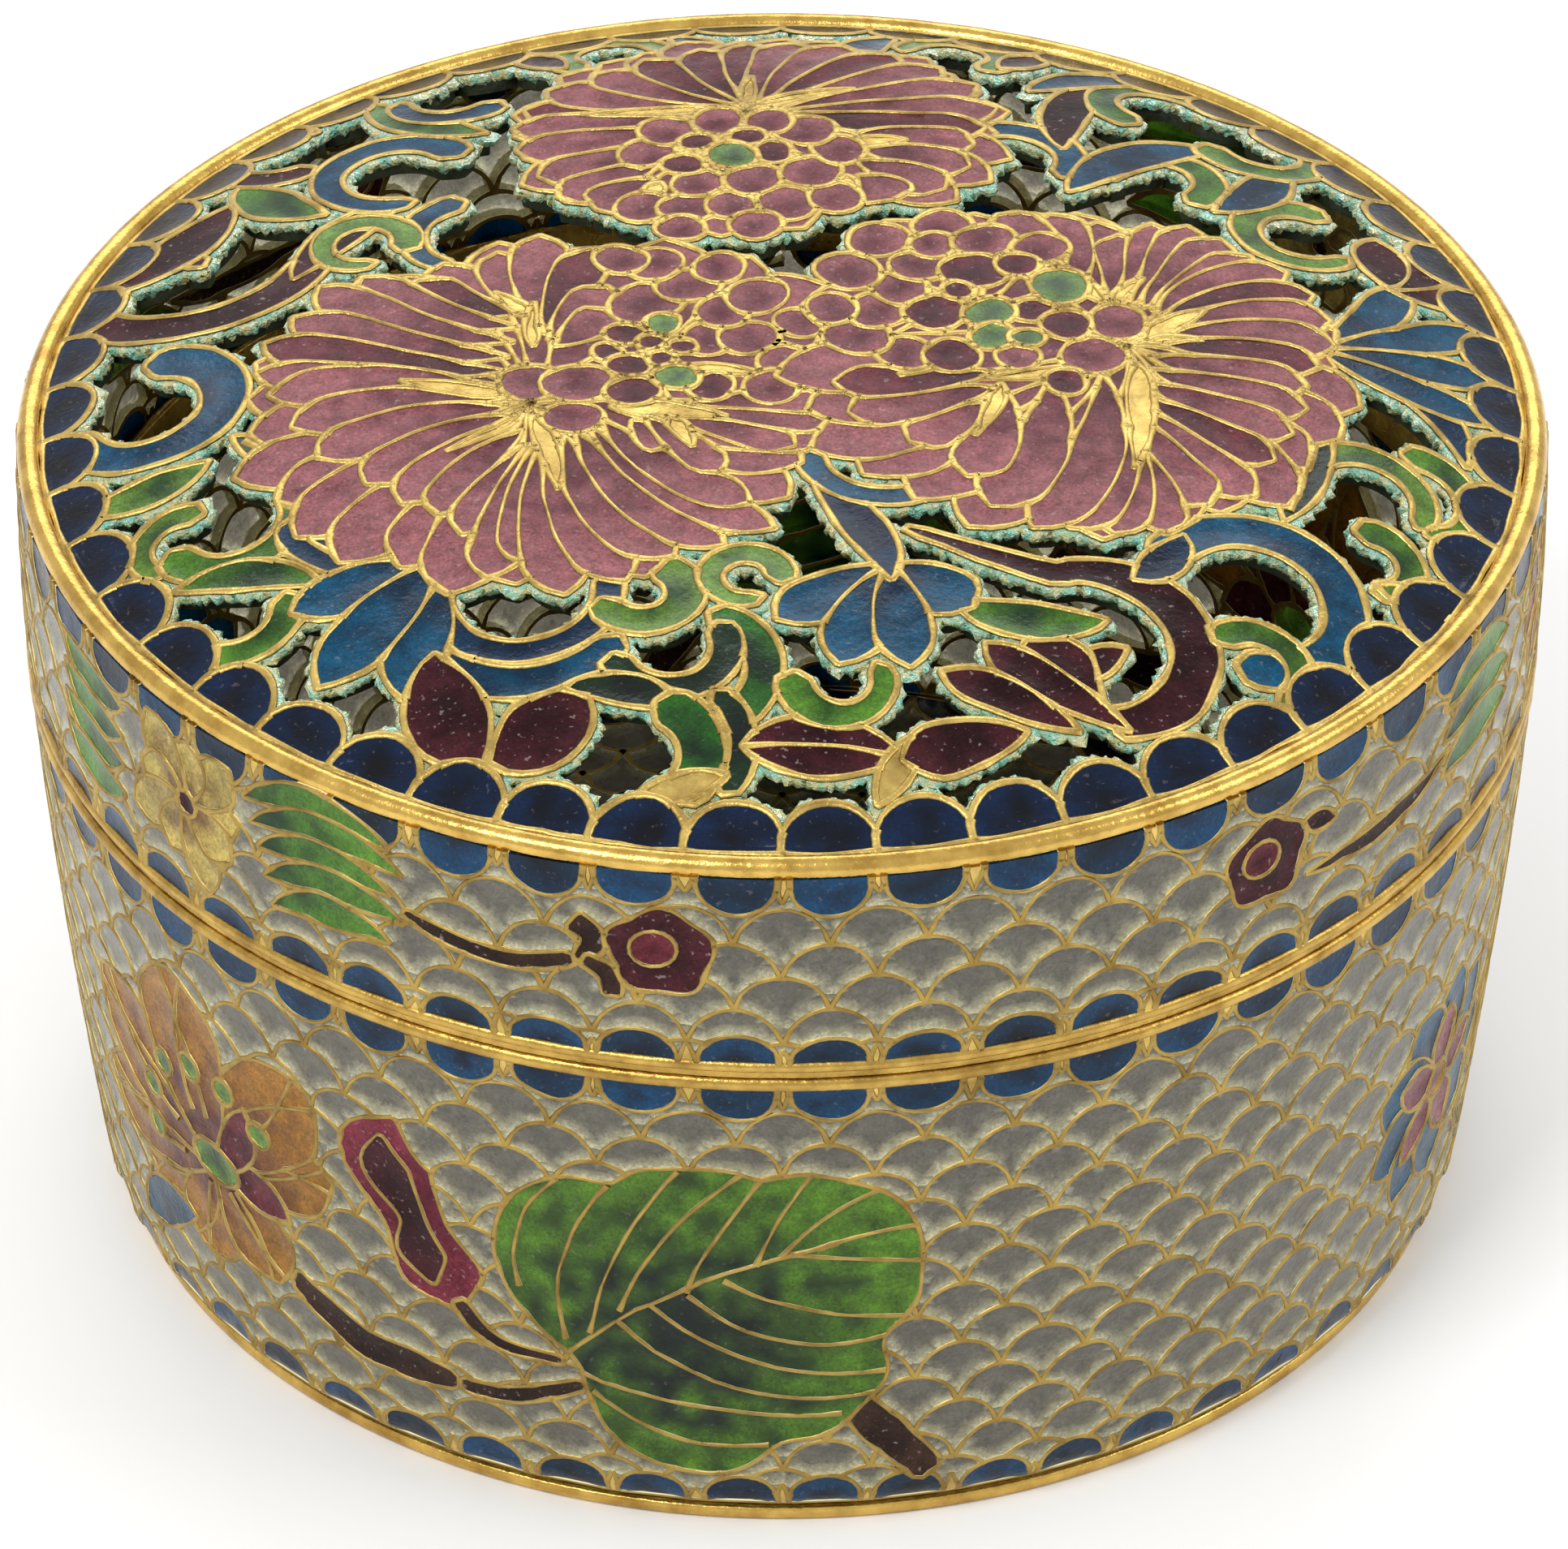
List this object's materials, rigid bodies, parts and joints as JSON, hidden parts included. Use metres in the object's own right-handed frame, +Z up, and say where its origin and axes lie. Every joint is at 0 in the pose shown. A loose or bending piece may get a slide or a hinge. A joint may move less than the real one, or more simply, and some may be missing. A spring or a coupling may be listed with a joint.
{
  "type": "trinket box",
  "caption": "Round lidded trinket box of wire-framed translucent enamel, with a lift-off domed lid pierced between flowers and scrolls.",
  "frame": {"origin": "centre of the foot's underside, on the surface that the box stands on", "axes": "+Z up along the box's axis, from the foot to the lid; -Y towards the side seen in the picture"},
  "size_m": [0.0712, 0.0712, 0.0441],
  "materials": {
    "gilt": "polished gilt, lightly worn",
    "rim_gilt": "polished gilt",
    "clear_enamel": "glossy translucent enamel in gilt wire",
    "lid_enamel": "glossy translucent enamel in gilt wire"
  },
  "bodies": {
    "root": {"base_foot_ring": "gilt", "base_shell": "clear_enamel", "base_mouth_ring": "rim_gilt", "lid_mouth_ring": "rim_gilt", "lid_side_band": "clear_enamel", "lid_edge_ring": "gilt", "lid_top_panel": "lid_enamel"}
  },
  "joints": []
}
